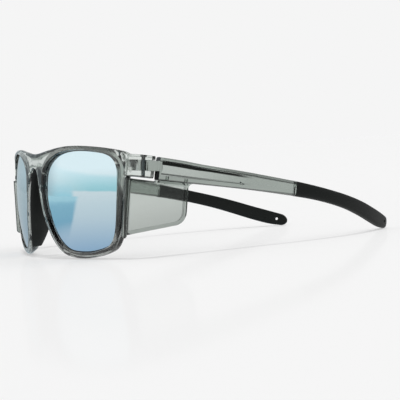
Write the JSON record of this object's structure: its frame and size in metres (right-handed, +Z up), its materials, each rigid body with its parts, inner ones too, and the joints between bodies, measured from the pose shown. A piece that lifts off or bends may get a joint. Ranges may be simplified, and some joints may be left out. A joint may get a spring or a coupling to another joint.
{
  "type": "safety sunglasses",
  "caption": "Wraparound safety sunglasses with mirrored blue lenses, clear grey frame, rubber nose pads and tips, folding temples and side shields.",
  "frame": {"origin": "on the surface that the glasses stand on, midway between the two sides and midway from the bridge to the ends of the temple tips", "axes": "+X towards the wearer's left, -Y the way the wearer looks, +Z up, with the glasses standing open on the bottoms of the rims and the ends of the temple tips"},
  "size_m": [0.1392, 0.161, 0.0498],
  "materials": {
    "smoke_plastic": "clear grey, gloss",
    "lens": "light blue mirror",
    "rubber": "matte black",
    "screw": "dark steel"
  },
  "bodies": {
    "front": {"front_frame": "smoke_plastic", "lens_left": "lens", "lens_right": "lens", "nose_pad_left": "rubber", "nose_pad_right": "rubber", "hinge_screw_left": "screw", "hinge_screw_right": "screw"},
    "temple_left": {"temple_left": "smoke_plastic", "temple_tip_left": "rubber", "side_shield_left": "smoke_plastic"},
    "temple_right": {"temple_right": "smoke_plastic", "temple_tip_right": "rubber", "side_shield_right": "smoke_plastic"}
  },
  "joints": [
    {"name": "temple_left_fold", "type": "hinge", "parent": "front", "child": "temple_left", "pos_m": [0.0665, -0.05665, 0.0385], "axis": [0, 0.1219, 0.9925], "range_deg": [0, 72]},
    {"name": "temple_right_fold", "type": "hinge", "parent": "front", "child": "temple_right", "pos_m": [-0.0665, -0.05665, 0.0385], "axis": [0, -0.1219, -0.9925], "range_deg": [0, 45]}
  ]
}
